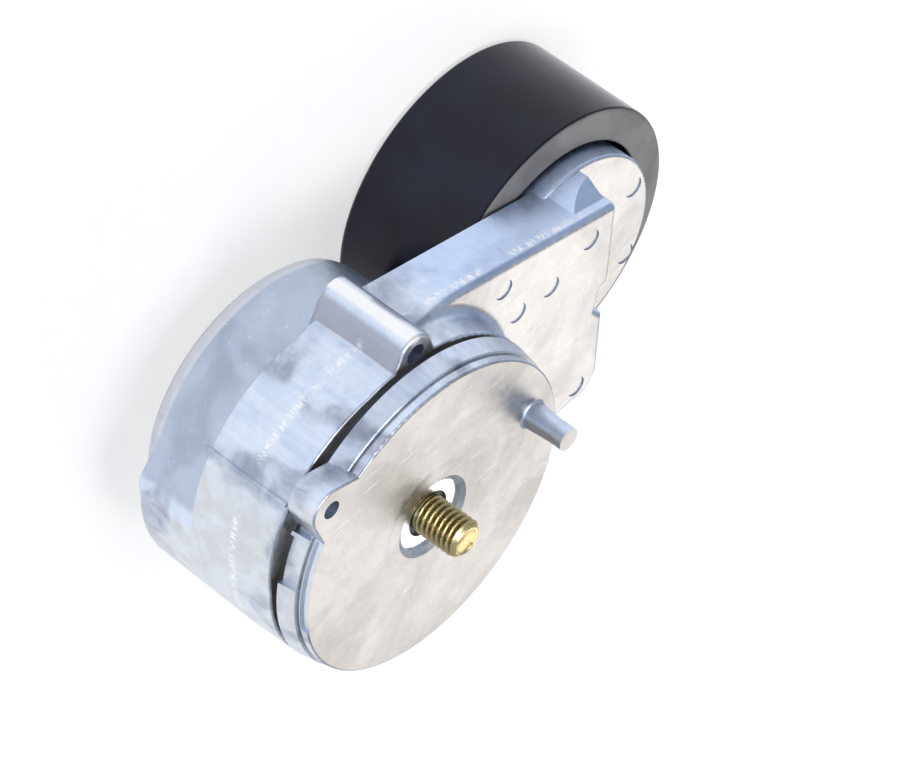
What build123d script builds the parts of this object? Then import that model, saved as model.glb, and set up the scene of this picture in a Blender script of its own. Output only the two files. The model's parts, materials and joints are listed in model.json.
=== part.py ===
from build123d import *
from math import atan, cos, degrees, radians, sin
import os

# Belt tensioner idler, millimetres.
# The origin is where the arm's pivot axis meets the mounting face of the base plate.
# +Z points out of the mounting face, and +X points at the pulley with the arm at its free stop.

# Driving dimensions
centre_distance = 77.0
lock_circle = 44.2
lug_angle = 82.4
ear_angle = 135.2
arm_travel = 55.0

# Base plate
plate_radius = 41.1
plate_rim_round = 0.6
plate_ledge_z = -2.8
flange_front_radius = 41.7
flange_radius = 42.6
plate_back_z = -7.7
skirt_radius = 37.4
skirt_inner_radius = 34.0
skirt_back_z = -14.0
shoulder_radius = 20.0
shoulder_z = -17.5
mouth_radius = 11.0
mouth_depth = 1.0
pad_radius = 14.2
pad_slope = 1.8
pad_depth = 0.15
groove_radius = 40.8
groove_width = 0.3
rim_step_radius = 40.4
rim_step_start = ear_angle + 12.4
rim_step_arc = 38.0
ear_boss_radius = 5.75
ear_hole_radius = 2.35
locating_pin_radius = 33.6
locating_pin_angle = 12.2
locating_pin_height = 11.3
locating_pin_root = 3.5
locating_pin_tip = 2.95
locating_pin_land = 4.0

# Pivot post and mounting bolt
post_radius = 13.0
post_neck_radius = 9.5
post_bore = 5.4
post_front_z = -1.7
post_shoulder_z = -54.0
post_end_z = -59.5
retainer_radius = 6.1
retainer_depth = 2.6
bolt_radius = 5.0
bolt_shank_radius = 4.6
bolt_thread_z = 0.0
bolt_tip_z = 10.5
bolt_flange_radius = 10.9
bolt_flange_thickness = 1.8
bolt_head_flats = 15.0
bolt_head_height = 6.5

# Spring case of the arm
case_front_z = -9.5
case_parting_z = -21.0
case_step_z = -33.9
case_radius = 42.9
case_swell_radius = 36.1
case_swell_offset = 9.0
case_swell_angle = 139.0
case_draft = 1.5
case_rim_round = 0.6
shell_rim_round = 2.2
seam_angle = 141.7
seam_radius = 0.6
seam_offset = 44.85
neck_radius = 36.1
neck_end_radius = 35.3
neck_end_z = -53.2
relief_start_angle = 137.0
relief_end_angle = 300.0
shell_back_z = -52.2
case_bore = 38.3
case_bore_back_z = -33.0
spring_bore = 32.5
case_floor_z = -49.5
lug_boss_radius = 5.3
lug_hole_radius = 2.65
lug_back_z = -35.2
lug_round = 0.9
hub_outer_radius = 19.5
hub_bore = 15.5
hub_front_z = -20.0
stop_angle = 200.0
stop_half_angle = 4.0

# Arm web and pulley lobe
web_front_z = -18.4
web_back_z = -33.4
web_edge_round = 2.0
web_root_round = 3.0
lobe_radius = 28.2
lobe_front_z = -29.8
lobe_back_z = -36.8
lobe_round = 0.8
gusset_height = 8.0
gusset_width = 4.2
gusset_length = 32.0
boss_radius = 11.0
boss_end_z = -44.2
thread_top_z = -35.0
mark_radius = 2.75
mark_depth = 0.35

# Pulley and its bearing
pulley_radius = 38.1
pulley_front_z = -34.4
pulley_back_z = -67.0
pulley_wall = 3.2
pulley_lip_radius = 29.2
pulley_lip_thickness = 2.4
bearing_front_z = -45.0
bearing_width = 12.0
bearing_bore = 8.5
bearing_radius = 20.0
bearing_pitch_radius = 14.25
ball_radius = 3.375
ball_count = 8
inner_race_radius = 11.9
outer_race_radius = 16.6

fit_gap = 0.05

bearing_back_z = bearing_front_z - bearing_width
bearing_middle_z = bearing_front_z - bearing_width / 2

os.makedirs("parts", exist_ok=True)


def radial_plane(angle, z):
    """A sketch plane at height z whose own x axis points out at the given angle."""
    turn = radians(angle)
    return Plane(origin=(0, 0, z), x_dir=(cos(turn), sin(turn), 0), z_dir=(0, 0, 1))


def polar(radius, angle):
    """A point of the XY plane from its radius and angle."""
    return (radius * cos(radians(angle)), radius * sin(radians(angle)))


def annular_sector(inner, outer, start, end):
    """Draw a ring's sector between two angles in the current sketch."""
    reach = 1.5 * outer
    middle = (start + end) / 2
    Circle(outer)
    Circle(inner, mode=Mode.SUBTRACT)
    corners = [(0, 0), polar(reach, start), polar(reach, middle), polar(reach, end)]
    Polygon(*corners, align=None, mode=Mode.INTERSECT)


def boss_outline(boss, foot):
    """Draw a boss on the locking circle with flanks that run down to a foot on the rim."""
    with Locations((lock_circle, 0)):
        Circle(boss)
    with Locations((lock_circle - 8, 0)):
        Rectangle(8, 2 * foot)
    make_hull()


def ring(inner, outer, bottom, top):
    """Add a plain ring about the Z axis to the current part."""
    with BuildSketch(Plane.XY.offset(bottom)) as outline:
        Circle(outer)
        Circle(inner, mode=Mode.SUBTRACT)
    extrude(outline.sketch, amount=top - bottom)


# ---------------------------------------------------------------- base, held still by the engine

# Base plate: a die-cast disc with a skirt, a boss for the post, an ear and a locating pin.
plate_profile = [
    (post_neck_radius, shoulder_z),
    (post_neck_radius, -mouth_depth),
    (mouth_radius, -pad_depth),
    (pad_radius, -pad_depth),
    (pad_radius + pad_slope, 0),
    (plate_radius, 0),
    (plate_radius, plate_ledge_z + 2 * groove_width),
    (groove_radius, plate_ledge_z + groove_width),
    (groove_radius, plate_ledge_z),
    (flange_front_radius - groove_width, plate_ledge_z),
    (flange_front_radius, plate_ledge_z - groove_width),
    (flange_radius, plate_back_z),
    (skirt_radius, plate_back_z),
    (skirt_radius, skirt_back_z),
    (skirt_inner_radius, skirt_back_z),
    (skirt_inner_radius, case_front_z),
    (shoulder_radius, case_front_z),
    (shoulder_radius, shoulder_z),
]
with BuildPart() as base_plate:
    with BuildSketch(Plane.XZ):
        Polygon(*plate_profile, align=None)
    revolve(axis=Axis.Z)
    with BuildSketch(radial_plane(ear_angle, plate_back_z)):
        boss_outline(ear_boss_radius, 8.6)
    extrude(amount=-plate_back_z)
    fillet(base_plate.faces().sort_by(Axis.Z)[-1].outer_wire().edges(), radius=plate_rim_round)
    with BuildSketch(radial_plane(ear_angle, plate_back_z)):
        with Locations((lock_circle, 0)):
            Circle(ear_hole_radius)
    extrude(amount=-plate_back_z, mode=Mode.SUBTRACT)
    # Beside the ear the edge of the face is stepped down, with a bevel below.
    step_turn = radians(rim_step_start)
    step_plane = Plane(
        origin=(0, 0, 0),
        x_dir=(cos(step_turn), sin(step_turn), 0),
        z_dir=(sin(step_turn), -cos(step_turn), 0),
    )
    step_profile = [
        (rim_step_radius, 0.5),
        (rim_step_radius, -1.3),
        (plate_radius + 0.2, -2.2),
        (plate_radius + 0.2, 0.5),
    ]
    with BuildSketch(step_plane):
        Polygon(*step_profile, align=None)
    revolve(axis=Axis.Z, revolution_arc=rim_step_arc, mode=Mode.SUBTRACT)
    # The flange is cored out beside the ear, with one thin rib left standing.
    with BuildSketch(Plane.XY.offset(plate_back_z)):
        annular_sector(39.6, 46, ear_angle + 10.4, ear_angle + 13.4)
    extrude(amount=4.7, mode=Mode.SUBTRACT)
    with BuildSketch(Plane.XY.offset(plate_back_z)):
        annular_sector(40.9, 46, ear_angle + 14.8, ear_angle + 33)
    extrude(amount=4.7, mode=Mode.SUBTRACT)
    # The skirt is open over the travel of the arm's stop.
    with BuildSketch(Plane.XY.offset(skirt_back_z)):
        gap_start = stop_angle - stop_half_angle - 0.5
        gap_end = stop_angle + stop_half_angle + arm_travel + 0.5
        annular_sector(skirt_inner_radius - 1, skirt_radius + 1, gap_start, gap_end)
    extrude(amount=plate_back_z - skirt_back_z, mode=Mode.SUBTRACT)
    taper_height = locating_pin_height - locating_pin_land
    pin_taper = degrees(atan((locating_pin_root - locating_pin_tip) / taper_height))
    with BuildSketch(Plane.XY):
        with Locations(polar(locating_pin_radius, locating_pin_angle)):
            Circle(locating_pin_root)
    extrude(amount=taper_height, taper=pin_taper)
    with BuildSketch(Plane.XY.offset(taper_height)):
        with Locations(polar(locating_pin_radius, locating_pin_angle)):
            Circle(locating_pin_tip)
    extrude(amount=locating_pin_land)
    pin_root = base_plate.edges().filter_by(GeomType.CIRCLE).filter_by(
        lambda edge: abs(edge.radius - locating_pin_root) < 0.01
    )
    fillet(pin_root, radius=0.8)
base_plate.part.label = "base_plate"
export_step(base_plate.part, "parts/base_plate.step")

# Pivot post: the turned steel tube that the bolt clamps and the arm turns on.
post_profile = [
    (post_bore, post_end_z),
    (post_neck_radius, post_end_z),
    (post_neck_radius, post_shoulder_z),
    (post_radius, post_shoulder_z),
    (post_radius, shoulder_z),
    (post_neck_radius, shoulder_z),
    (post_neck_radius, post_front_z),
    (retainer_radius, post_front_z),
    (retainer_radius, post_front_z - retainer_depth),
    (post_bore, post_front_z - retainer_depth),
]
with BuildPart() as pivot_post:
    with BuildSketch(Plane.XZ):
        Polygon(*post_profile, align=None)
    revolve(axis=Axis.Z)
pivot_post.part.label = "pivot_post"
export_step(pivot_post.part, "parts/pivot_post.step")

# Bolt retainer: the ring in the post's mouth that keeps the loose bolt captive.
with BuildPart() as bolt_retainer:
    retainer_bottom_z = post_front_z - retainer_depth
    ring(bolt_shank_radius + fit_gap, retainer_radius, retainer_bottom_z, post_front_z - 0.8)
bolt_retainer.part.label = "bolt_retainer"
export_step(bolt_retainer.part, "parts/bolt_retainer.step")

# Front thrust washer: between the base's shoulder and the bushing's flange.
with BuildPart() as front_thrust_washer:
    ring(post_radius, shoulder_radius, shoulder_z - 0.8, shoulder_z)
front_thrust_washer.part.label = "front_thrust_washer"
export_step(front_thrust_washer.part, "parts/front_thrust_washer.step")

# Retaining plate: holds the arm on the post, staked over its end.
with BuildPart() as retaining_plate:
    ring(post_neck_radius, 23.0, post_shoulder_z - 2.2, post_shoulder_z)
retaining_plate.part.label = "retaining_plate"
export_step(retaining_plate.part, "parts/retaining_plate.step")

# Damping shoe: the spring's fixed end pushes this open band against the case wall.
with BuildPart() as damping_shoe:
    with BuildSketch(Plane.XY.offset(-24.0)):
        annular_sector(33.0, case_bore - 0.3, 20, 160)
    extrude(amount=8.5)
damping_shoe.part.label = "damping_shoe"
export_step(damping_shoe.part, "parts/damping_shoe.step")

# ---------------------------------------------------------------- mounting bolt

# Mounting bolt: M10 with a flanged hexagon head behind the arm.
with BuildPart() as mounting_bolt:
    with BuildSketch(Plane.XY.offset(post_end_z)):
        Circle(bolt_shank_radius)
    extrude(amount=bolt_thread_z - post_end_z)
    with BuildSketch(Plane.XY.offset(bolt_thread_z)):
        Circle(bolt_radius)
    extrude(amount=bolt_tip_z - bolt_thread_z)
    chamfer(mounting_bolt.edges().group_by(Axis.Z)[-1], length=1.0)
    with BuildSketch(Plane.XY.offset(post_end_z - bolt_flange_thickness)):
        Circle(bolt_flange_radius)
    extrude(amount=bolt_flange_thickness)
    head_z = post_end_z - bolt_flange_thickness - bolt_head_height
    with BuildSketch(Plane.XY.offset(head_z)):
        RegularPolygon(bolt_head_flats / 2, 6, major_radius=False)
    extrude(amount=bolt_head_height)
mounting_bolt.part.label = "mounting_bolt"
export_step(mounting_bolt.part, "parts/mounting_bolt.step")

# ---------------------------------------------------------------- arm

# The web's long side runs from beside the lug to the lobe.
side_start = Vector(10.7, 42.1)
side_end = Vector(82.6, 23.8)

# Outline of the arm web, from its tangent point on the spring case round to the lower edge.
web_outline = [
    (0, 20),
    (side_start.X, side_start.Y),
    (side_end.X, side_end.Y),
    (80.0, 2.8),
    (79.2, -0.8),
    (76.8, -1.4),
    (74.8, -7.2),
    (77.4, -10.6),
    (75.4, -29.0),
    (71.6, -33.6),
    (0, -33.6),
]
mark_spots = [(43.8, 26.3), (73.0, 19.0), (59.4, 14.1), (48.2, 14.6), (67.6, -28.4)]
lobe_mark_spots = [(100.3, 6.1), (97.4, -15.0)]


def drum(radius, back_z, front_round, back_round):
    """A drum drafted both ways from the case's parting line, with rounded rims."""
    with BuildPart() as body:
        with BuildSketch(Plane.XY.offset(case_parting_z)) as outline:
            Circle(radius)
        extrude(outline.sketch, amount=case_front_z - case_parting_z, taper=case_draft)
        extrude(outline.sketch, amount=back_z - case_parting_z, taper=case_draft)
        rims = body.edges().group_by(Axis.Z)
        fillet(rims[-1], radius=front_round)
        fillet(body.edges().group_by(Axis.Z)[0], radius=back_round)
    return body.part


# Outer forms of the spring case: a round drum, and a swell on the side away from the pulley.
round_drum = drum(case_radius, case_step_z, case_rim_round, case_rim_round)
swell_drum = drum(case_swell_radius, case_step_z, case_rim_round, case_rim_round)
round_shell = drum(case_radius, shell_back_z, case_rim_round, shell_rim_round)
swell_shell = drum(case_swell_radius, shell_back_z, case_rim_round, shell_rim_round)

# Away from the pulley the full shell carries on to the back, between two flats.
with BuildPart() as rear_shell:
    add(round_shell)
    with Locations(polar(case_swell_offset, case_swell_angle)):
        add(swell_shell)
    with BuildSketch(Plane.XY.offset(shell_back_z)):
        start = Vector(*polar(neck_end_radius, relief_start_angle))
        end = Vector(*polar(neck_end_radius, relief_end_angle))
        start_far = start + Vector(*polar(70, relief_start_angle + 90))
        end_far = end + Vector(*polar(70, relief_end_angle - 90))
        Polygon((0, 0), start, start_far, end_far, end, align=None)
    extrude(amount=case_step_z + 1 - shell_back_z, mode=Mode.INTERSECT)

# Locking lug
with BuildPart() as lug:
    with BuildSketch(radial_plane(lug_angle, lug_back_z)):
        boss_outline(lug_boss_radius, 7.4)
    extrude(amount=case_front_z - lug_back_z)
    fillet(lug.edges().group_by(Axis.Z)[-1], radius=lug_round)
    fillet(lug.edges().group_by(Axis.Z)[0], radius=lug_round)

# Pulley lobe
with BuildPart() as lobe:
    with BuildSketch(Plane.XY.offset(lobe_back_z)):
        with Locations((centre_distance, 0)):
            Circle(lobe_radius)
    extrude(amount=lobe_front_z - lobe_back_z)
    fillet(lobe.edges().group_by(Axis.Z)[-1], radius=lobe_round)

# Web between the case and the lobe
with BuildPart() as web:
    with BuildSketch(Plane.XY.offset(web_back_z)):
        Polygon(*web_outline, align=None)
    extrude(amount=web_front_z - web_back_z)
    corner_edges = web.edges().filter_by(Axis.Z)
    fillet(corner_edges.sort_by(Axis.X)[-1], radius=2.0)
    low_edges = web.edges().filter_by(Axis.Z).filter_by_position(Axis.X, 70, 78)
    fillet(low_edges.filter_by_position(Axis.Y, -40, -25), radius=4.0)

# Gusset between the side of the web and the front of the lobe
side_run = (side_end - side_start).normalized()
gusset_plane = Plane(
    origin=side_end - side_run * 1.6,
    x_dir=(-side_run.Y, side_run.X, 0),
    z_dir=side_run,
)
gusset_section = [
    (-1, lobe_front_z - 1),
    (-1, lobe_front_z + gusset_height),
    (0, lobe_front_z + gusset_height),
    (gusset_width, lobe_front_z),
    (gusset_width, lobe_front_z - 1),
]
with BuildPart() as web_gusset:
    with BuildSketch(gusset_plane):
        Polygon(*gusset_section, align=None)
    extrude(amount=-gusset_length)
    with BuildSketch(Plane.XY.offset(lobe_front_z - 1)):
        with Locations((centre_distance, 0)):
            Circle(lobe_radius - lobe_round)
    extrude(amount=1 + gusset_height, mode=Mode.INTERSECT)

# The web's fillets only close when the three outer forms are joined in one step.
arm_front = web.part + round_drum + lug.part

# Arm casting: spring case, bearing tube, locking lug, web and pulley lobe in one die casting.
with BuildPart() as arm_casting:
    add(arm_front)
    # The web's root on the drum, then its outer edge, are the level edges of its front face.
    level = (web_front_z - 0.01, web_front_z + 0.01)
    root_edges = arm_casting.edges().filter_by_position(Axis.Z, *level)
    fillet(root_edges.sort_by(SortBy.LENGTH)[-1], radius=web_root_round)
    outer_edges = arm_casting.edges().filter_by_position(Axis.Z, *level)
    fillet(outer_edges.sort_by(SortBy.LENGTH)[:-1], radius=web_edge_round)
    with Locations(polar(case_swell_offset, case_swell_angle)):
        add(swell_drum)
    add(lobe.part)
    add(web_gusset.part)
    # Neck behind the step, which clears the pulley.
    with BuildSketch(Plane.XY.offset(case_step_z)):
        Circle(neck_radius)
    neck_taper = degrees(atan((neck_radius - neck_end_radius) / (case_step_z - neck_end_z)))
    extrude(amount=neck_end_z - case_step_z, taper=neck_taper)
    add(rear_shell.part)
    # Seam bead down the side of the case
    with BuildSketch(Plane.XY.offset(lug_back_z)):
        with Locations(polar(seam_offset, seam_angle)):
            Circle(seam_radius)
    extrude(amount=case_front_z - case_rim_round - lug_back_z)
    # Inside of the case
    with BuildSketch(Plane.XY.offset(case_front_z)):
        Circle(case_bore)
    extrude(amount=case_bore_back_z - case_front_z, mode=Mode.SUBTRACT)
    with BuildSketch(Plane.XY.offset(case_bore_back_z)):
        Circle(spring_bore)
    extrude(amount=case_floor_z - case_bore_back_z, mode=Mode.SUBTRACT)
    with BuildSketch(Plane.XY.offset(neck_end_z)):
        Circle(hub_outer_radius)
    extrude(amount=hub_front_z - neck_end_z)
    with BuildSketch(Plane.XY.offset(neck_end_z)):
        Circle(hub_bore)
    extrude(amount=hub_front_z - neck_end_z, mode=Mode.SUBTRACT)
    with BuildSketch(Plane.XY.offset(case_front_z - 4)):
        annular_sector(
            skirt_inner_radius + 0.4,
            case_bore + 1,
            stop_angle - stop_half_angle,
            stop_angle + stop_half_angle,
        )
    extrude(amount=3.8)
    with BuildSketch(radial_plane(lug_angle, lug_back_z)):
        with Locations((lock_circle, 0)):
            Circle(lug_hole_radius)
    extrude(amount=case_front_z - lug_back_z, mode=Mode.SUBTRACT)
    # Bearing boss and the spigot inside the bearing
    with BuildSketch(Plane.XY.offset(boss_end_z)):
        with Locations((centre_distance, 0)):
            Circle(boss_radius)
    extrude(amount=lobe_back_z - boss_end_z)
    with BuildSketch(Plane.XY.offset(bearing_back_z + 0.5)):
        with Locations((centre_distance, 0)):
            Circle(bearing_bore)
    extrude(amount=boss_end_z - bearing_back_z - 0.5)
    with BuildSketch(Plane.XY.offset(bearing_back_z + 0.5)):
        with Locations((centre_distance, 0)):
            Circle(bolt_radius)
    extrude(amount=thread_top_z - bearing_back_z - 0.5, mode=Mode.SUBTRACT)
    # Ejector pin marks
    with BuildSketch(Plane.XY.offset(web_front_z)):
        with Locations(*mark_spots):
            Circle(mark_radius)
    extrude(amount=-mark_depth, mode=Mode.SUBTRACT)
    with BuildSketch(Plane.XY.offset(lobe_front_z)):
        with Locations(*lobe_mark_spots):
            Circle(mark_radius)
    extrude(amount=-mark_depth, mode=Mode.SUBTRACT)
arm_casting.part.label = "arm_casting"
export_step(arm_casting.part, "parts/arm_casting.step")

# Pivot bushing: a flanged plastic bush pressed in the bearing tube, running on the post.
with BuildPart() as pivot_bushing:
    ring(post_radius + fit_gap, hub_bore, neck_end_z, hub_front_z)
    ring(post_radius + fit_gap, shoulder_radius, hub_front_z, shoulder_z - 0.9)
pivot_bushing.part.label = "pivot_bushing"
export_step(pivot_bushing.part, "parts/pivot_bushing.step")

# Rear thrust washer: between the case floor and the retaining plate.
with BuildPart() as rear_thrust_washer:
    ring(post_radius + fit_gap, 23.0, post_shoulder_z + 0.1, neck_end_z)
rear_thrust_washer.part.label = "rear_thrust_washer"
export_step(rear_thrust_washer.part, "parts/rear_thrust_washer.step")

# Spring seat: plastic ring on the case floor.
seat_top_z = case_floor_z + 2.0
with BuildPart() as spring_seat:
    ring(hub_outer_radius, spring_bore, case_floor_z, seat_top_z)
spring_seat.part.label = "spring_seat"
export_step(spring_seat.part, "parts/spring_seat.step")

# Torsion spring: round wire, wound between the seat and the base's skirt.
spring_mean_radius = 27.0
spring_wire_radius = 2.9
spring_pitch = 6.2
spring_turns = 4.5
spring_bottom_z = seat_top_z + spring_wire_radius
with BuildPart() as torsion_spring:
    with BuildLine() as coil_path:
        Helix(
            pitch=spring_pitch,
            height=spring_pitch * spring_turns,
            radius=spring_mean_radius,
            center=(0, 0, spring_bottom_z),
        )
    with BuildSketch(coil_path.line ^ 0):
        Circle(spring_wire_radius)
    sweep(path=coil_path.line, is_frenet=True)
torsion_spring.part.label = "torsion_spring"
export_step(torsion_spring.part, "parts/torsion_spring.step")

# Rear cover: a dished cap on the end of the neck, open in the middle for the bolt head.
cover_profile = [
    (25.0, -58.0),
    (30.4, -58.0),
    (33.0, -57.5),
    (34.8, -56.0),
    (neck_end_radius - 0.1, -54.6),
    (neck_end_radius - 0.1, neck_end_z),
    (33.6, neck_end_z),
    (33.6, -54.6),
    (32.2, -56.4),
    (30.2, -56.9),
    (25.0, -56.9),
]
with BuildPart() as rear_cover:
    with BuildSketch(Plane.XZ):
        Polygon(*cover_profile, align=None)
    revolve(axis=Axis.Z)
rear_cover.part.label = "rear_cover"
export_step(rear_cover.part, "parts/rear_cover.step")


# ---------------------------------------------------------------- pulley, about its own axis

pulley_axis = Axis((centre_distance, 0, 0), (0, 0, 1))
pulley_section = Plane((centre_distance, 0, 0), x_dir=(1, 0, 0), z_dir=(0, -1, 0))


def revolved_about_pulley(profile):
    """Revolve a radius and height profile about the pulley axis into the current part."""
    with BuildSketch(pulley_section) as section:
        Polygon(*profile, align=None)
    revolve(section.sketch, axis=pulley_axis)


def ring_profile(inner, outer, bottom, top):
    """The corners of a plain ring's section."""
    return [(inner, bottom), (outer, bottom), (outer, top), (inner, top)]


# Dust shield: clamped between the arm's boss and the inner ring, dished clear of the bearing.
with BuildPart() as dust_shield:
    revolved_about_pulley([
        (bearing_bore, bearing_front_z),
        (inner_race_radius, bearing_front_z),
        (inner_race_radius + 1, bearing_front_z + 0.6),
        (19.0, bearing_front_z + 0.6),
        (19.0, bearing_front_z + 1.4),
        (inner_race_radius + 0.6, bearing_front_z + 1.4),
        (boss_radius + 0.5, boss_end_z),
        (bearing_bore, boss_end_z),
    ])
dust_shield.part.label = "dust_shield"
export_step(dust_shield.part, "parts/dust_shield.step")

# Bearing rings, with the ball groove in each.
with BuildPart() as bearing_inner_ring:
    revolved_about_pulley(ring_profile(bearing_bore, inner_race_radius, bearing_back_z, bearing_front_z))
    with BuildSketch(pulley_section):
        with Locations((bearing_pitch_radius, bearing_middle_z)):
            Circle(ball_radius + fit_gap)
    revolve(axis=pulley_axis, mode=Mode.SUBTRACT)
bearing_inner_ring.part.label = "bearing_inner_ring"
export_step(bearing_inner_ring.part, "parts/bearing_inner_ring.step")

with BuildPart() as bearing_outer_ring:
    revolved_about_pulley(ring_profile(outer_race_radius, bearing_radius, bearing_back_z, bearing_front_z))
    with BuildSketch(pulley_section):
        with Locations((bearing_pitch_radius, bearing_middle_z)):
            Circle(ball_radius + fit_gap)
    revolve(axis=pulley_axis, mode=Mode.SUBTRACT)
bearing_outer_ring.part.label = "bearing_outer_ring"
export_step(bearing_outer_ring.part, "parts/bearing_outer_ring.step")

# Balls and the cage that spaces them.
with BuildPart() as bearing_balls:
    with Locations((centre_distance, 0, bearing_middle_z)):
        with PolarLocations(bearing_pitch_radius, ball_count):
            Sphere(ball_radius)
bearing_balls.part.label = "bearing_balls"
export_step(bearing_balls.part, "parts/bearing_balls.step")

with BuildPart() as bearing_cage:
    cage_inner = bearing_pitch_radius - 1.1
    cage_outer = bearing_pitch_radius + 1.1
    cage_top = bearing_middle_z + 4.2
    cage_bottom = bearing_middle_z - 4.2
    revolved_about_pulley(ring_profile(cage_inner, cage_outer, cage_bottom, cage_top))
    with Locations((centre_distance, 0, bearing_middle_z)):
        with PolarLocations(bearing_pitch_radius, ball_count):
            Cylinder(ball_radius + fit_gap, 6.0, rotation=(0, 90, 0), mode=Mode.SUBTRACT)
bearing_cage.part.label = "bearing_cage"
export_step(bearing_cage.part, "parts/bearing_cage.step")

# Bearing seals, held by the outer ring and just clear of the inner ring.
seal_inner = inner_race_radius + fit_gap
with BuildPart() as bearing_seal_front:
    revolved_about_pulley(
        ring_profile(seal_inner, outer_race_radius, bearing_front_z - 1.2, bearing_front_z - 0.2)
    )
bearing_seal_front.part.label = "bearing_seal_front"
export_step(bearing_seal_front.part, "parts/bearing_seal_front.step")

with BuildPart() as bearing_seal_rear:
    revolved_about_pulley(
        ring_profile(seal_inner, outer_race_radius, bearing_back_z + 0.2, bearing_back_z + 1.2)
    )
bearing_seal_rear.part.label = "bearing_seal_rear"
export_step(bearing_seal_rear.part, "parts/bearing_seal_rear.step")

# Pulley hub: the pressed web and the cup that holds the bearing.
hub_wall = 2.6
snap_ring_thickness = 1.2
snap_ring_depth = 1.0
hub_front_edge_z = bearing_front_z + 1.6
hub_back_edge_z = bearing_back_z - 5.0
hub_web_top_z = bearing_middle_z + 1.5
hub_web_bottom_z = bearing_middle_z - 1.5
with BuildPart() as pulley_hub:
    rim_inside = pulley_radius - pulley_wall
    hub_outside = bearing_radius + hub_wall
    groove_bottom_z = bearing_back_z - snap_ring_thickness
    revolved_about_pulley([
        (bearing_radius, hub_front_edge_z),
        (hub_outside, hub_front_edge_z),
        (hub_outside, hub_web_top_z),
        (rim_inside, hub_web_top_z),
        (rim_inside, hub_web_bottom_z),
        (hub_outside, hub_web_bottom_z),
        (hub_outside, hub_back_edge_z),
        (bearing_radius, hub_back_edge_z),
        (bearing_radius, groove_bottom_z),
        (bearing_radius + snap_ring_depth, groove_bottom_z),
        (bearing_radius + snap_ring_depth, bearing_back_z),
        (bearing_radius, bearing_back_z),
    ])
pulley_hub.part.label = "pulley_hub"
export_step(pulley_hub.part, "parts/pulley_hub.step")

# Pulley shell: the smooth rim that the back of the belt runs on, with a lip turned in at the front.
with BuildPart() as pulley_shell:
    lip_back_z = pulley_front_z - pulley_lip_thickness
    revolved_about_pulley([
        (rim_inside, pulley_back_z),
        (pulley_radius, pulley_back_z),
        (pulley_radius, pulley_front_z),
        (pulley_lip_radius, pulley_front_z),
        (pulley_lip_radius, lip_back_z),
        (rim_inside, lip_back_z),
    ])
    rim_edges = pulley_shell.edges().filter_by(GeomType.CIRCLE)
    fillet(rim_edges.filter_by(lambda edge: edge.radius > pulley_radius - 0.1), radius=1.0)
    fillet(rim_edges.filter_by(lambda edge: edge.radius < pulley_lip_radius + 0.1), radius=0.8)
pulley_shell.part.label = "pulley_shell"
export_step(pulley_shell.part, "parts/pulley_shell.step")

# Snap ring: holds the bearing in the hub, with its gap on the +X side.
with BuildPart() as snap_ring:
    revolved_about_pulley(
        ring_profile(bearing_radius - 1.6, bearing_radius + snap_ring_depth, groove_bottom_z, bearing_back_z)
    )
    with BuildSketch(Plane.XY.offset(groove_bottom_z)):
        with Locations((centre_distance + bearing_radius, 0)):
            Rectangle(6, 7)
    extrude(amount=snap_ring_thickness, mode=Mode.SUBTRACT)
snap_ring.part.label = "snap_ring"
export_step(snap_ring.part, "parts/snap_ring.step")

# Dust cap: a shallow cup over the pulley bolt, pressed in the back of the hub.
with BuildPart() as dust_cap:
    cap_back_z = pulley_back_z + 0.8
    revolved_about_pulley([
        (0, cap_back_z),
        (17.5, cap_back_z),
        (bearing_radius, cap_back_z + 2.0),
        (bearing_radius, groove_bottom_z - 0.2),
        (bearing_radius - 1.2, groove_bottom_z - 0.2),
        (bearing_radius - 1.2, cap_back_z + 2.4),
        (17.0, cap_back_z + 1.2),
        (0, cap_back_z + 1.2),
    ])
dust_cap.part.label = "dust_cap"
export_step(dust_cap.part, "parts/dust_cap.step")

# Bearing washer and pulley bolt, which clamp the inner ring to the arm.
washer_thickness = 1.5
washer_back_z = bearing_back_z - washer_thickness
with BuildPart() as bearing_washer:
    revolved_about_pulley(ring_profile(bolt_radius + 0.3, inner_race_radius, washer_back_z, bearing_back_z))
bearing_washer.part.label = "bearing_washer"
export_step(bearing_washer.part, "parts/bearing_washer.step")

with BuildPart() as pulley_bolt:
    pulley_head_height = 5.6
    with BuildSketch(Plane.XY.offset(washer_back_z - pulley_head_height)):
        with Locations((centre_distance, 0)):
            RegularPolygon(bolt_head_flats / 2, 6, major_radius=False)
    extrude(amount=pulley_head_height)
    with BuildSketch(Plane.XY.offset(washer_back_z)):
        with Locations((centre_distance, 0)):
            Circle(bolt_radius)
    extrude(amount=thread_top_z - 2 - washer_back_z)
pulley_bolt.part.label = "pulley_bolt"
export_step(pulley_bolt.part, "parts/pulley_bolt.step")
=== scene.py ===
import json
from math import cos, pi, radians, sin

import bmesh
import bpy
from mathutils import Matrix, Vector

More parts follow.
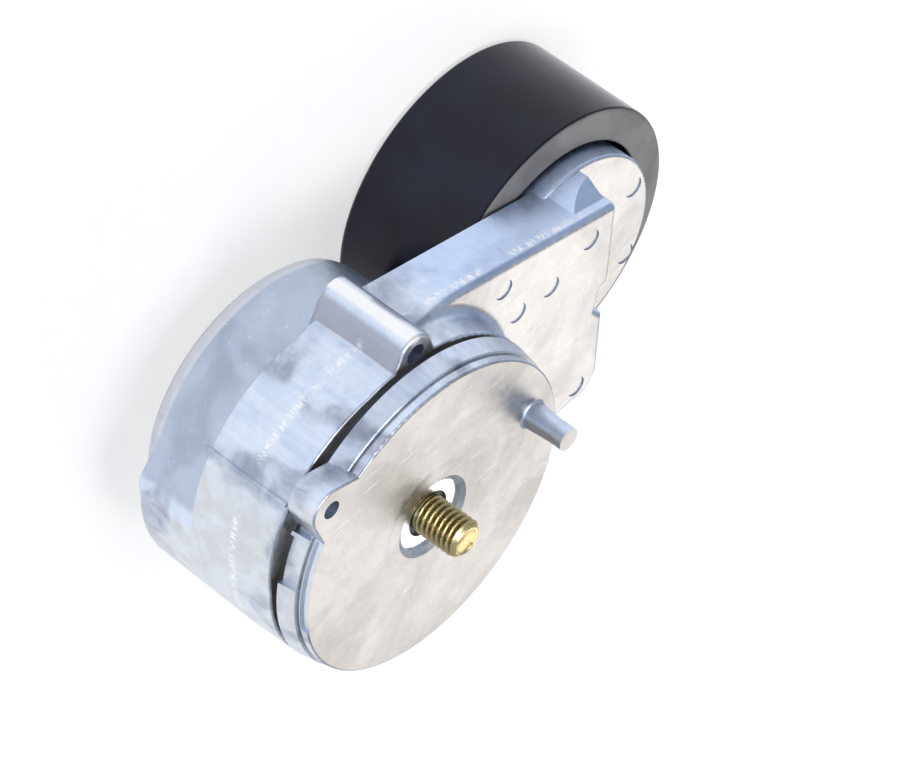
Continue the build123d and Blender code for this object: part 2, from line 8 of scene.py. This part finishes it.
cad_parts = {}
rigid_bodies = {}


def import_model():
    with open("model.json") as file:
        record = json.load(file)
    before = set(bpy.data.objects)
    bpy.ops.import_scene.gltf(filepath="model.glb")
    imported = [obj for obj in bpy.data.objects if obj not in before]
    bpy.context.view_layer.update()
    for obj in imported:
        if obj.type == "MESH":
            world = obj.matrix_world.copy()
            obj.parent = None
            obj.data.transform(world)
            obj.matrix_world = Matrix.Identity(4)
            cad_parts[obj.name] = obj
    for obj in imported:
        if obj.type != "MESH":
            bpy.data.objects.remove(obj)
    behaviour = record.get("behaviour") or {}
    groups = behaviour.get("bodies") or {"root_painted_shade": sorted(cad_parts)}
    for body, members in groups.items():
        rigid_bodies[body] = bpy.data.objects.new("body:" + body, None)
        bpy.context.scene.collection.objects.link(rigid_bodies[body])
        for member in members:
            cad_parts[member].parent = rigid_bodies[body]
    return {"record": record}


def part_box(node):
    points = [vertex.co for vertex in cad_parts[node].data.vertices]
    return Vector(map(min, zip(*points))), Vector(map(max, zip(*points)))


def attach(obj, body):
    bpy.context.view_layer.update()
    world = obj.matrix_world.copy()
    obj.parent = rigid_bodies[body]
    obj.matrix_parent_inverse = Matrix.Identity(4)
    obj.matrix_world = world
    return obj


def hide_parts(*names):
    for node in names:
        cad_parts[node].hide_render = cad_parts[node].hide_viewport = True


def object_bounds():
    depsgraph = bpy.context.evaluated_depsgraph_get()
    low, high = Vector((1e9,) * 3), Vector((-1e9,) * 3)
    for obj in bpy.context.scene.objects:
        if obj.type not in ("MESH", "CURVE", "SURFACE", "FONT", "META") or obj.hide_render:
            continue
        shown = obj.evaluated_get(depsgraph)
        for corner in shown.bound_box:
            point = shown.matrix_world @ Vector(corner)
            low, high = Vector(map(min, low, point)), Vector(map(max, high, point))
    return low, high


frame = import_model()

cad_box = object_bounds()
scene = bpy.context.scene
floor_height = cad_box[0][2]
pulley_low, pulley_high = (Vector(corner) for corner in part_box("pulley_shell"))
pulley_axis = (pulley_low + pulley_high) / 2
pivot_axis = Vector((0, 0, 0))
MM = 0.001


def tint(red, green, blue):
    return (red, green, blue, 1)


# ---------------------------------------------------------------- camera, floor and lights

AIM = Vector((0.0399, -0.0174, -0.0327))
VIEW = Vector((0.4603, -0.76388, -0.45234))
RIGHT = Vector((0.68374, -0.01995, 0.72945))
DISTANCE = 1.396

camera = bpy.data.objects.new("camera", bpy.data.cameras.new("camera"))
camera.data.lens = 240
camera.data.sensor_width = 36
camera.data.clip_end = 20
turn = Matrix((RIGHT, RIGHT.cross(VIEW).normalized(), -VIEW)).transposed().to_4x4()
camera.matrix_world = Matrix.Translation(AIM - DISTANCE * VIEW) @ turn
scene.collection.objects.link(camera)
scene.camera = camera
scene.view_settings.view_transform = "Standard"

world = bpy.data.worlds.new("studio")
world.use_nodes = True
sky = world.node_tree.nodes["Background"]
sky.inputs["Color"].default_value = tint(0.80, 0.88, 1.0)
sky.inputs["Strength"].default_value = 0.45
scene.world = world


def area_light(name, place, size, power, colour):
    """A square soft box aimed at the object."""
    light = bpy.data.lights.new(name, "AREA")
    light.size = size
    light.energy = power
    light.color = colour
    lamp = bpy.data.objects.new(name, light)
    lamp.location = place
    lamp.rotation_euler = (AIM - Vector(place)).to_track_quat("-Z", "Y").to_euler()
    scene.collection.objects.link(lamp)


area_light("soft_box_behind", (0.9, -1.5, 1.1), 1.4, 11, (1.0, 0.95, 0.90))
area_light("soft_box_above", (-0.2, 0.5, 1.9), 1.2, 20, (1.0, 0.98, 0.96))
area_light("fill_left", (-1.6, 0.6, 0.7), 0.9, 4, (0.80, 0.90, 1.0))


# ---------------------------------------------------------------- material helpers

class Look:
    """One procedural material on a Principled shader, with short calls for its nodes."""

    def __init__(self, name, **settings):
        self.material = bpy.data.materials.new(name)
        self.material.use_nodes = True
        self.tree = self.material.node_tree
        self.shader = self.tree.nodes["Principled BSDF"]
        for socket, value in settings.items():
            self.shader.inputs[socket.replace("_", " ")].default_value = value
        coordinates = self.node("ShaderNodeTexCoord")
        self.place = coordinates.outputs["Object"]
        self.normal = coordinates.outputs["Normal"]
        self.bump_chain = None

    def node(self, kind, **values):
        made = self.tree.nodes.new(kind)
        for key, value in values.items():
            setattr(made, key, value)
        return made

    def feed(self, socket, value):
        if isinstance(value, bpy.types.NodeSocket):
            self.tree.links.new(value, socket)
        else:
            socket.default_value = value

    def mapped(self, scale, rotation=(0, 0, 0)):
        """Object coordinates turned, and scaled along each axis."""
        mapping = self.node("ShaderNodeMapping")
        self.feed(mapping.inputs["Vector"], self.place)
        self.feed(mapping.inputs["Rotation"], rotation)
        self.feed(mapping.inputs["Scale"], scale)
        return mapping.outputs["Vector"]

    def axis(self, name, offset=0.0):
        """One object coordinate, measured from an offset in metres."""
        split = self.node("ShaderNodeSeparateXYZ")
        self.feed(split.inputs["Vector"], self.place)
        return self.math("SUBTRACT", split.outputs[name], offset)

    def radius_from(self, centre):
        """Distance from an upright axis, in metres."""
        across = self.math("POWER", self.axis("X", centre.x), 2.0)
        along = self.math("POWER", self.axis("Y", centre.y), 2.0)
        return self.math("SQRT", self.math("ADD", across, along))

    def noise(self, scale, detail=3.0, roughness=0.55, distortion=0.0, at=None):
        made = self.node("ShaderNodeTexNoise")
        self.feed(made.inputs["Vector"], at or self.place)
        self.feed(made.inputs["Scale"], scale)
        self.feed(made.inputs["Detail"], detail)
        self.feed(made.inputs["Roughness"], roughness)
        self.feed(made.inputs["Distortion"], distortion)
        return made.outputs["Fac"]

    def math(self, operation, first, second=0.0):
        made = self.node("ShaderNodeMath", operation=operation)
        self.feed(made.inputs[0], first)
        self.feed(made.inputs[1], second)
        return made.outputs["Value"]

    def times(self, first, second):
        return self.math("MULTIPLY", first, second)

    def between(self, value, start, end, low=0.0, high=1.0):
        """Map a value smoothly from start..end to low..high."""
        made = self.node("ShaderNodeMapRange", interpolation_type="SMOOTHSTEP")
        self.feed(made.inputs["Value"], value)
        self.feed(made.inputs["From Min"], start)
        self.feed(made.inputs["From Max"], end)
        self.feed(made.inputs["To Min"], low)
        self.feed(made.inputs["To Max"], high)
        return made.outputs["Result"]

    def band(self, value, middle, width):
        """1 where a value is at the middle, falling to 0 at the width on either side."""
        away = self.math("ABSOLUTE", self.math("SUBTRACT", value, middle))
        return self.between(away, 0.0, width, 1.0, 0.0)

    def facing(self, axis, start, end):
        """1 on faces that look along an axis, either way."""
        split = self.node("ShaderNodeSeparateXYZ")
        self.feed(split.inputs["Vector"], self.normal)
        return self.between(self.math("ABSOLUTE", split.outputs[axis]), start, end)

    def blend(self, factor, first, second):
        made = self.node("ShaderNodeMix", data_type="RGBA")
        self.feed(made.inputs["Factor"], factor)
        self.feed(made.inputs[6], first)
        self.feed(made.inputs[7], second)
        return made.outputs[2]

    def bump(self, height, distance, strength):
        made = self.node("ShaderNodeBump")
        self.feed(made.inputs["Height"], height)
        self.feed(made.inputs["Distance"], distance)
        self.feed(made.inputs["Strength"], strength)
        if self.bump_chain is not None:
            self.feed(made.inputs["Normal"], self.bump_chain)
        self.bump_chain = made.outputs["Normal"]
        self.feed(self.shader.inputs["Normal"], self.bump_chain)

    def colour(self, value):
        self.feed(self.shader.inputs["Base Color"], value)

    def gloss(self, value):
        self.feed(self.shader.inputs["Roughness"], value)


# ---------------------------------------------------------------- die-cast aluminium

# Painted light on the casting: blue-grey painted reflection on its upright walls, greyer on walls facing
# along X, dark and pale reflection blotches, painted shade and reflection on the arm, and bare metal that
# also serves as a painted highlight
WALL_REFLECTION_LOW = tint(0.56, 0.655, 0.83)
WALL_REFLECTION_HIGH = tint(0.68, 0.77, 0.93)
WALL_X_FACING_PAINTED_LIGHT = tint(0.66, 0.655, 0.65)
WALL_DARK_REFLECTION = tint(0.29, 0.32, 0.42)
WALL_PALE_REFLECTION = tint(0.80, 0.86, 0.95)
FLANK_PAINTED_SHADE = tint(0.37, 0.38, 0.46)
WEB_PAINTED_REFLECTION = tint(0.56, 0.70, 0.98)
NECK_PAINTED_SHADE_DARK = tint(0.40, 0.455, 0.56)
NECK_PAINTED_SHADE_PALE = tint(0.50, 0.57, 0.69)
BARE_METAL_AND_HIGHLIGHT = tint(0.98, 0.98, 0.99)

# Areas of the arm casting: its parting line with nicks, and the areas given painted shade, painted
# reflection or a painted highlight
PARTING_Z = -21.0 * MM
PARTING_BAND = 1.7 * MM
NECK_RADIUS = 36.4 * MM
NECK_FRONT_Z = -34.0 * MM
SWELL_SIDE = (-0.86, -0.51)
SWELL_TONE_START = 29.0 * MM
SWELL_TONE_END = 31.5 * MM
FLANK_NEAR = 7.5 * MM
FLANK_FAR = 10.5 * MM
WEB_START_X = 16.0 * MM
WEB_FULL_X = 34.0 * MM
CREST_ABOVE_HOLE = 5.3 * MM
CREST_HIGHLIGHT_REACH = 2.6 * MM
SCRATCH_TURNS = (0.5, 1.1, -0.4)

lug_mount = next(mount for mount in frame["record"]["mounts"] if mount["name"] == "lug_lock_hole")
lug_axis = Vector(lug_mount["pos_m"])
lug_crest = lug_axis + Vector((0, CREST_ABOVE_HOLE, 0))


def neck_area(look):
    """1 on the relieved neck behind the case and on the part of the swell that runs into it."""
    inside = look.between(look.radius_from(pivot_axis), NECK_RADIUS, NECK_RADIUS + 0.4 * MM, 1.0, 0.0)
    side_x, side_y = SWELL_SIDE
    outward = look.math("ADD", look.times(look.axis("X"), side_x), look.times(look.axis("Y"), side_y))
    above = look.between(outward, SWELL_TONE_START, SWELL_TONE_END, 1.0, 0.0)
    edge = 0.3 * MM
    behind = look.between(look.axis("Z"), NECK_FRONT_Z - edge, NECK_FRONT_Z + edge, 1.0, 0.0)
    return look.times(look.math("MAXIMUM", inside, above), behind)


def arm_tones(look, wall_painted_light, blotch, cloud):
    """Painted light over a wall colour: painted shade on the neck and the flanks of the lug, and a bluer
    painted reflection along the web.
    """
    # Painted shade: the neck takes a darker blue-grey in place of the wall tones
    shade = look.blend(look.between(blotch, 0.40, 0.60), NECK_PAINTED_SHADE_DARK, NECK_PAINTED_SHADE_PALE)
    shade = look.blend(look.between(cloud, 0.45, 0.70, 0.0, 0.4), shade, WALL_REFLECTION_LOW)
    wall_painted_light = look.blend(neck_area(look), wall_painted_light, shade)
    # Painted shade on the lug's flanks that face along X
    around = look.between(look.radius_from(lug_axis), FLANK_NEAR, FLANK_FAR, 0.85, 0.0)
    wall_painted_light = look.blend(look.times(around, look.facing("X", 0.45, 0.75)), wall_painted_light, FLANK_PAINTED_SHADE)
    # Painted reflection: the web's walls turn bluer towards its far end
    along_web = look.between(look.axis("X"), WEB_START_X, WEB_FULL_X, 0.0, 0.65)
    return look.blend(along_web, wall_painted_light, WEB_PAINTED_REFLECTION)


def scratches(look):
    """Sparse fine scratches in a few directions."""
    marks = 0.0
    for turn in SCRATCH_TURNS:
        along = look.mapped((60, 2600, 1500), (0.6 * turn, turn, 2.1 * turn))
        scratch = look.between(look.noise(1.0, 1, 0.5, at=along), 0.765, 0.80, 0.0, 0.6)
        marks = look.math("MAXIMUM", marks, scratch)
    return marks


def arm_nicks_and_highlight(look, streak):
    """Nicks along the die's parting line, and a painted highlight along the crest of the lug."""
    nick = look.noise(1.0, 3, 0.7, 0.8, at=look.mapped((1500, 1500, 420)))
    line = look.band(look.axis("Z"), PARTING_Z, PARTING_BAND)
    patch = look.between(look.noise(60, 2, 0.5), 0.46, 0.58)
    nicks = look.times(look.times(line, patch), look.between(nick, 0.46, 0.56))
    # Painted highlight: a bright stripe along the crest of the lug, broken up by the streaks
    crest_highlight = look.between(look.radius_from(lug_crest), 0.4 * CREST_HIGHLIGHT_REACH, CREST_HIGHLIGHT_REACH, 1.0, 0.0)
    crest_highlight = look.times(crest_highlight, look.between(streak, 0.2, 0.5, 0.7, 1.0))
    return look.math("MAXIMUM", nicks, crest_highlight)


def cast_aluminium(name, face_low, face_high, arm=False):
    """Satin die casting: mottled skin, draw marks under painted reflection on its walls, scratches, and the
    arm's painted shade, reflection and highlight.
    """
    look = Look(name, Metallic=1.0)
    blotch = look.noise(52, 2, 0.5, 0.5)
    cloud = look.noise(130, 4, 0.6, 0.6)
    mottle = look.noise(420, 5, 0.65, 0.8)
    broad = look.noise(34, 3, 0.6, 0.8)
    grain = look.noise(3800, 2, 0.5)
    streak = look.noise(1.0, 3, 0.6, at=look.mapped((700, 700, 30)))

    # Painted reflection: blue-grey wall tones between the draw-mark streaks, greyer on walls that face along
    # X
    wall_painted_light = look.blend(look.between(streak, 0.30, 0.70), WALL_REFLECTION_LOW, WALL_REFLECTION_HIGH)
    wall_painted_light = look.blend(look.times(look.facing("X", 0.72, 0.92), 0.8), wall_painted_light, WALL_X_FACING_PAINTED_LIGHT)
    # Painted reflection: dark and pale blotches on the walls
    wall_painted_light = look.blend(look.between(blotch, 0.37, 0.49, 0.85, 0.0), wall_painted_light, WALL_DARK_REFLECTION)
    wall_painted_light = look.blend(look.between(cloud, 0.35, 0.65, 0.0, 0.5), wall_painted_light, WALL_PALE_REFLECTION)

    stain = tint(*(0.75 * level for level in face_low[:3]))
    face = look.blend(look.between(mottle, 0.38, 0.62), face_low, face_high)
    face = look.blend(look.between(cloud, 0.40, 0.66, 0.0, 0.6), face, face_high)
    face = look.blend(look.between(broad, 0.36, 0.60, 0.55, 0.0), face, stain)

    marks = scratches(look)
    if arm:
        wall_painted_light = arm_tones(look, wall_painted_light, blotch, cloud)
        marks = look.math("MAXIMUM", marks, arm_nicks_and_highlight(look, streak))
    # Painted light: faces along Z take the warm lit tone, upright walls the painted reflection tones
    skin = look.blend(look.facing("Z", 0.75, 0.95), wall_painted_light, face)
    # Bare metal in scratches and nicks; the lug's crest gets the same colour as a painted highlight
    look.colour(look.blend(marks, skin, BARE_METAL_AND_HIGHLIGHT))
    look.gloss(look.math("ADD", look.between(mottle, 0.3, 0.7, 0.34, 0.46), look.times(marks, 0.10)))
    look.bump(grain, 0.04 * MM, 0.5)
    look.bump(mottle, 0.12 * MM, 0.5)
    return look.material


# ---------------------------------------------------------------- other finishes

def turned_metal(name, centre, dark, bright, rough, step=0.25 * MM):
    """Bare or plated steel with the fine rings that turning leaves about an axis."""
    look = Look(name, Metallic=1.0)
    combine = look.node("ShaderNodeCombineXYZ")
    look.feed(combine.inputs["X"], look.math("DIVIDE", look.radius_from(centre), step))
    look.feed(combine.inputs["Y"], look.times(look.axis("Z"), 1200.0))
    rings = look.noise(1.0, 3, 0.6, at=combine.outputs["Vector"])
    stain = look.noise(180, 4, 0.6, 0.5)
    shade = look.blend(look.between(rings, 0.35, 0.65), dark, bright)
    look.colour(look.blend(look.between(stain, 0.45, 0.75, 0.0, 0.35), shade, dark))
    look.gloss(look.between(stain, 0.3, 0.7, rough, rough + 0.12))
    look.bump(rings, 0.02 * MM, 0.6)
    return look.material


def yellow_zinc():
    """Yellow passivated zinc: gold with green and rose patches, with painted shade in the thread's roots and
    on the faces along its axis.
    """
    look = Look("yellow_zinc", Metallic=1.0)
    patch = look.noise(260, 4, 0.6, 1.2)
    film = look.noise(700, 3, 0.6, 0.6)
    gold = look.blend(look.between(patch, 0.40, 0.60), tint(0.86, 0.67, 0.32), tint(0.70, 0.66, 0.34))
    gold = look.blend(look.between(film, 0.52, 0.68, 0.0, 0.7), gold, tint(0.76, 0.48, 0.34))
    gold = look.blend(look.between(film, 0.28, 0.42, 0.6, 0.0), gold, tint(0.40, 0.56, 0.36))
    # Painted shade: faces that look along the bolt's axis get a darker gold
    gold = look.blend(look.facing("Z", 0.80, 0.97), gold, tint(0.66, 0.50, 0.24))
    # Painted shade: the thread's roots go dark
    root_painted_shade = look.between(look.radius_from(pivot_axis), 4.15 * MM, 4.75 * MM, 0.85, 0.0)
    below_tip = look.between(look.axis("Z"), 9.3 * MM, 10.2 * MM, 1.0, 0.0)
    look.colour(look.blend(look.times(root_painted_shade, below_tip), gold, tint(0.20, 0.17, 0.07)))
    look.gloss(look.between(film, 0.3, 0.7, 0.22, 0.38))
    look.bump(look.noise(2600, 3, 0.6), 0.04 * MM, 0.6)
    return look.material


def black_gloss():
    """Black enamel on steel, nearly navy, with a greyer painted reflection on the level face of the rim."""
    look = Look("black_gloss", Specular_IOR_Level=0.3)
    cloud = look.noise(70, 3, 0.5, 0.3)
    speck = look.noise(2400, 2, 0.5)
    rings = look.noise(1.0, 2, 0.5, at=look.mapped((30, 30, 3500)))
    deep = look.blend(look.between(cloud, 0.35, 0.65), tint(0.004, 0.005, 0.014), tint(0.007, 0.010, 0.026))
    # Painted reflection: grey tones for the rim's level face
    level_face_reflection = look.blend(look.between(cloud, 0.38, 0.62), tint(0.17, 0.165, 0.16), tint(0.23, 0.222, 0.216))
    outer = look.between(look.radius_from(pulley_axis), 28.6 * MM, 29.6 * MM)
    level = look.times(look.facing("Z", 0.55, 0.9), outer)
    dust = look.between(speck, 0.74, 0.82, 0.0, 0.25)
    look.colour(look.blend(dust, look.blend(level, deep, level_face_reflection), tint(0.25, 0.25, 0.27)))
    look.gloss(look.math("ADD", look.between(rings, 0.3, 0.7, 0.13, 0.22), look.times(level, 0.40)))
    look.bump(rings, 0.008 * MM, 0.5)
    look.bump(look.noise(900, 2, 0.5), 0.02 * MM, 0.3)
    return look.material


def moulded(name, shade, second, rough, grain_scale=1500):
    """Moulded plastic, rubber or paint: two close shades, a fine grain and uneven gloss."""
    look = Look(name)
    cloud = look.noise(160, 3, 0.6, 0.3)
    grain = look.noise(grain_scale, 3, 0.6)
    look.colour(look.blend(look.between(cloud, 0.35, 0.65), shade, second))
    look.gloss(look.between(grain, 0.3, 0.7, rough, min(rough + 0.15, 1.0)))
    look.bump(grain, 0.03 * MM, 0.5)
    return look.material


def drawn_wire():
    """Oil-tempered spring wire: dark, with faint lines round the coil."""
    look = Look("spring_steel", Metallic=1.0)
    lines = look.noise(1.0, 3, 0.6, at=look.mapped((120, 120, 2200)))
    oil = look.noise(220, 3, 0.6, 0.6)
    look.colour(look.blend(look.between(lines, 0.35, 0.65), tint(0.10, 0.10, 0.115), tint(0.20, 0.20, 0.22)))
    look.gloss(look.between(oil, 0.3, 0.7, 0.28, 0.5))
    look.bump(lines, 0.02 * MM, 0.6)
    return look.material


# ---------------------------------------------------------------- finishes of the CAD nodes

looks = {
    "cast_aluminium": cast_aluminium(
        "arm_aluminium", tint(0.50, 0.487, 0.472), tint(0.62, 0.606, 0.588), arm=True
    ),
    "machined_steel": turned_metal(
        "machined_steel", pivot_axis, tint(0.84, 0.84, 0.84), tint(0.97, 0.97, 0.96), 0.22
    ),
    "yellow_zinc": yellow_zinc(),
    "zinc_steel": turned_metal(
        "zinc_steel", pulley_axis, tint(0.52, 0.54, 0.57), tint(0.72, 0.74, 0.76), 0.28
    ),
    "bearing_steel": turned_metal(
        "bearing_steel", pulley_axis, tint(0.66, 0.66, 0.68), tint(0.85, 0.85, 0.87), 0.12
    ),
    "black_gloss": black_gloss(),
    "cover_steel": turned_metal(
        "cover_steel", pivot_axis, tint(0.50, 0.52, 0.58), tint(0.70, 0.73, 0.80), 0.34, 1.2 * MM
    ),
    "black_plastic": moulded(
        "black_plastic", tint(0.018, 0.018, 0.020), tint(0.035, 0.035, 0.038), 0.42
    ),
    "bearing_plastic": moulded(
        "bearing_plastic", tint(0.62, 0.58, 0.46), tint(0.74, 0.70, 0.58), 0.45
    ),
    "cage_plastic": moulded(
        "cage_plastic", tint(0.30, 0.17, 0.07), tint(0.42, 0.25, 0.11), 0.40
    ),
    "seal_rubber": moulded(
        "seal_rubber", tint(0.016, 0.016, 0.017), tint(0.032, 0.032, 0.033), 0.60, 2200
    ),
    "spring_steel": drawn_wire(),
}
plate_aluminium = cast_aluminium("plate_aluminium", tint(0.42, 0.405, 0.39), tint(0.54, 0.522, 0.50))
# The steel pieces on the pulley's side are turned about the pulley's own axis.
PULLEY_SIDE_X = 0.03
pulley_steel = turned_metal(
    "pulley_steel", pulley_axis, tint(0.62, 0.63, 0.66), tint(0.86, 0.87, 0.90), 0.24
)

for entry in frame["record"]["subparts"]:
    look = looks[entry["material_slot"]]
    if entry["node"] == "base_plate":
        look = plate_aluminium
    if entry["material_slot"] == "machined_steel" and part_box(entry["node"])[0][0] > PULLEY_SIDE_X:
        look = pulley_steel
    piece = bpy.data.objects[entry["node"]]
    if len(piece.material_slots) == 0:
        piece.data.materials.append(look)
    for slot in piece.material_slots:
        slot.material = look


# ---------------------------------------------------------------- floor

FLOOR_REACH = 6

floor_look = moulded("floor", tint(0.46, 0.46, 0.46), tint(0.475, 0.475, 0.475), 0.85, 4)
floor_shader = floor_look.node_tree.nodes["Principled BSDF"]
floor_shader.inputs["Emission Color"].default_value = tint(1, 1, 1)
floor_shader.inputs["Emission Strength"].default_value = 0.60

floor_corners = [
    (side_x * FLOOR_REACH, side_y * FLOOR_REACH, floor_height)
    for side_x, side_y in ((-1, -1), (1, -1), (1, 1), (-1, 1))
]
floor_mesh = bpy.data.meshes.new("floor")
floor_mesh.from_pydata(floor_corners, [], [(0, 1, 2, 3)])
floor_mesh.materials.append(floor_look)
floor = bpy.data.objects.new("floor", floor_mesh)
scene.collection.objects.link(floor)


# ---------------------------------------------------------------- mounting bolt

bolt_low, bolt_high = (Vector(corner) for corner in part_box("mounting_bolt"))
head_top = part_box("pivot_post")[0][2]

THREAD_RADIUS = 5.0 * MM
ROOT_RADIUS = 4.08 * MM
SHANK_RADIUS = 4.6 * MM
PITCH = 1.5 * MM
THREAD_START = -2.3 * MM
THREAD_RUN_IN = 0.8 * PITCH
ROOT_FLAT = 0.14
FLANK = 0.72
TIP_RADIUS = ROOT_RADIUS - 0.35 * MM
TIP_SLOPE = 1.15
TIP_EDGE_RADIUS = 3.55 * MM
DISH_RADIUS = 3.1 * MM
DISH_STEP = 0.12 * MM
HEAD_HEIGHT = 6.5 * MM
HALF_FLATS = 7.5 * MM
FLANGE_THICKNESS = 1.0 * MM
FLANGE_EDGE = 0.3 * MM
RIM_STEPS = 96
PITCH_STEPS = 12
SMOOTH_LIMIT = radians(38)


def thread_radius(height, angle):
    """Radius of a right-hand metric thread, fading out at the start and chamfered at the tip."""
    phase = (height / PITCH - angle / (2 * pi)) % 1.0
    ramp = abs(2 * phase - 1)
    crest = min(1.0, max(0.0, (ramp - ROOT_FLAT) / FLANK))
    radius = ROOT_RADIUS + (THREAD_RADIUS - ROOT_RADIUS) * crest
    fade = min(1.0, max(0.0, (height - THREAD_START) / THREAD_RUN_IN))
    radius = SHANK_RADIUS + (radius - SHANK_RADIUS) * fade
    to_tip = max(0.0, bolt_high.z - height)
    return min(radius, TIP_RADIUS + to_tip * TIP_SLOPE)


def circle(radius):
    return lambda angle: radius


def hexagon(scale=1.0, within=None):
    """The head's hexagon, with its corners cut back to a circle where one is given."""
    def radius_at(angle):
        radius = scale * HALF_FLATS / cos((angle + pi / 6) % (pi / 3) - pi / 6)
        return radius if within is None else min(radius, within)
    return radius_at


def ring_of(mesh, height, radius_at):
    """One ring of vertices about the Z axis."""
    made = []
    for step in range(RIM_STEPS):
        angle = 2 * pi * step / RIM_STEPS
        radius = radius_at(angle)
        made.append(mesh.verts.new((radius * cos(angle), radius * sin(angle), height)))
    return made


def bridge(mesh, lower, upper):
    """Faces between two rings with the same number of vertices."""
    count = len(lower)
    for step in range(count):
        after = (step + 1) % count
        mesh.faces.new((lower[step], lower[after], upper[after], upper[step]))


def head_rings(mesh):
    """Hexagon head with a marking recess and cut corners, its washer flange, and the plain shank."""
    bottom = bolt_low.z
    hexagon_top = bottom + HEAD_HEIGHT
    flange_edge = head_top - FLANGE_THICKNESS
    flange_radius = bolt_high.x
    sections = [
        (bottom, circle(0.62 * HALF_FLATS)),
        (bottom + 0.3 * MM, circle(0.66 * HALF_FLATS)),
        (bottom, circle(0.72 * HALF_FLATS)),
        (bottom, circle(0.95 * HALF_FLATS)),
        (bottom + 0.35 * MM, hexagon(within=1.02 * HALF_FLATS)),
        (bottom + 0.9 * MM, hexagon(within=1.10 * HALF_FLATS)),
        (bottom + 1.6 * MM, hexagon()),
        (hexagon_top - 0.5 * MM, hexagon()),
        (hexagon_top, hexagon(scale=1.04)),
        (flange_edge - 0.2 * MM, circle(flange_radius - 0.35 * MM)),
        (flange_edge, circle(flange_radius)),
        (head_top - FLANGE_EDGE, circle(flange_radius)),
        (head_top, circle(flange_radius - FLANGE_EDGE)),
        (head_top, circle(SHANK_RADIUS + 0.25 * MM)),
        (head_top + 0.3 * MM, circle(SHANK_RADIUS)),
        (-20 * MM, circle(SHANK_RADIUS)),
        (THREAD_START, circle(SHANK_RADIUS)),
    ]
    return [ring_of(mesh, height, radius_at) for height, radius_at in sections]


def thread_rings(mesh):
    made = []
    height = THREAD_START + PITCH / PITCH_STEPS
    while height < bolt_high.z - 0.02 * MM:
        made.append(ring_of(mesh, height, lambda angle, at=height: thread_radius(at, angle)))
        height += PITCH / PITCH_STEPS
    return made


def tip_rings(mesh):
    """The sheared end: a shallow, uneven dish inside a narrow edge."""
    tip = bolt_high.z
    sections = [
        (tip, circle(TIP_EDGE_RADIUS)),
        (tip, circle(DISH_RADIUS)),
        (tip - 0.18 * MM, lambda angle: 2.75 * MM + 0.12 * MM * sin(3 * angle)),
        (tip - 0.22 * MM, lambda angle: 1.2 * MM + 0.1 * MM * sin(2 * angle + 1)),
    ]
    return [ring_of(mesh, height, radius_at) for height, radius_at in sections]


def build_bolt():
    """Head, shank, thread and sheared tip as one closed mesh."""
    mesh = bmesh.new()
    rings = head_rings(mesh) + thread_rings(mesh) + tip_rings(mesh)
    for lower, upper in zip(rings, rings[1:]):
        bridge(mesh, lower, upper)
    mesh.faces.new(list(reversed(rings[0])))
    mesh.faces.new(rings[-1])
    # One side of the dish lies lower than the other, with a steep step between them.
    for vertex in mesh.verts:
        if vertex.co.z > bolt_high.z - 0.3 * MM and vertex.co.xy.length < DISH_RADIUS + 0.1 * MM:
            side = vertex.co.x + 0.7 * vertex.co.y
            vertex.co.z += DISH_STEP * max(-1.0, min(1.0, side / (0.35 * MM))) - DISH_STEP
    bmesh.ops.recalc_face_normals(mesh, faces=mesh.faces)
    data = bpy.data.meshes.new("threaded_bolt")
    mesh.to_mesh(data)
    mesh.free()
    for face in data.polygons:
        face.use_smooth = True
    data.set_sharp_from_angle(angle=SMOOTH_LIMIT)
    return data


bolt = bpy.data.objects.new("threaded_bolt", build_bolt())
bolt.data.materials.append(looks["yellow_zinc"])
scene.collection.objects.link(bolt)
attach(bolt, "bolt")
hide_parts("mounting_bolt")
